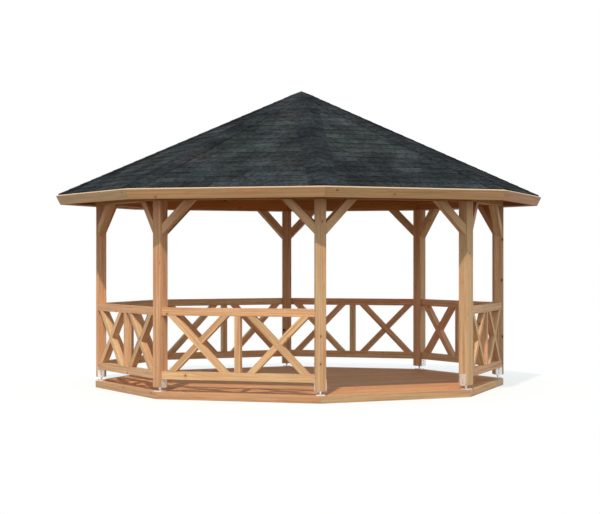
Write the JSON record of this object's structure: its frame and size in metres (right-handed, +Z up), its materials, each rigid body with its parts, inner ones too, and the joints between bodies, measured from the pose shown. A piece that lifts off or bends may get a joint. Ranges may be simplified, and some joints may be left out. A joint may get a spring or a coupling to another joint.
{
  "type": "garden gazebo",
  "caption": "Open octagonal timber gazebo with a boarded deck, cross-braced railings, knee-braced posts on steel feet and a shingled pyramid roof.",
  "frame": {"origin": "centre of the deck's underside, on the ground", "axes": "+Z up; the open entrance bay faces -Y; opposite sides of the octagon are square to X and to Y"},
  "size_m": [5.5598, 5.5598, 3.6429],
  "materials": {
    "post_timber": "satin",
    "railing_timber": "satin",
    "deck_timber": "satin",
    "frame_timber": "satin",
    "roof_board_timber": "satin",
    "fascia_timber": "satin",
    "shingle": "matte",
    "galvanised_steel": "satin"
  },
  "bodies": {
    "root": {"deck_joists": "deck_timber", "deck_boards": "deck_timber", "deck_edge": "deck_timber", "post_1": "post_timber", "post_2": "post_timber", "post_3": "post_timber", "post_4": "post_timber", "post_5": "post_timber", "post_6": "post_timber", "post_7": "post_timber", "post_8": "post_timber", "post_feet": "galvanised_steel", "railing_right": "railing_timber", "railing_back_right": "railing_timber", "railing_back": "railing_timber", "railing_back_left": "railing_timber", "railing_left": "railing_timber", "railing_front_left": "railing_timber", "railing_front_right": "railing_timber", "knee_braces_right": "post_timber", "knee_braces_back_right": "post_timber", "knee_braces_back": "post_timber", "knee_braces_back_left": "post_timber", "knee_braces_left": "post_timber", "knee_braces_front_left": "post_timber", "knee_braces_front": "post_timber", "knee_braces_front_right": "post_timber", "ring_beam_right": "frame_timber", "ring_beam_back_right": "frame_timber", "ring_beam_back": "frame_timber", "ring_beam_back_left": "frame_timber", "ring_beam_left": "frame_timber", "ring_beam_front_left": "frame_timber", "ring_beam_front": "frame_timber", "ring_beam_front_right": "frame_timber", "hip_rafters": "frame_timber", "mid_rafters": "frame_timber", "apex_block": "frame_timber", "roof_boards": "roof_board_timber", "fascia": "fascia_timber", "shingles": "shingle"}
  },
  "joints": []
}
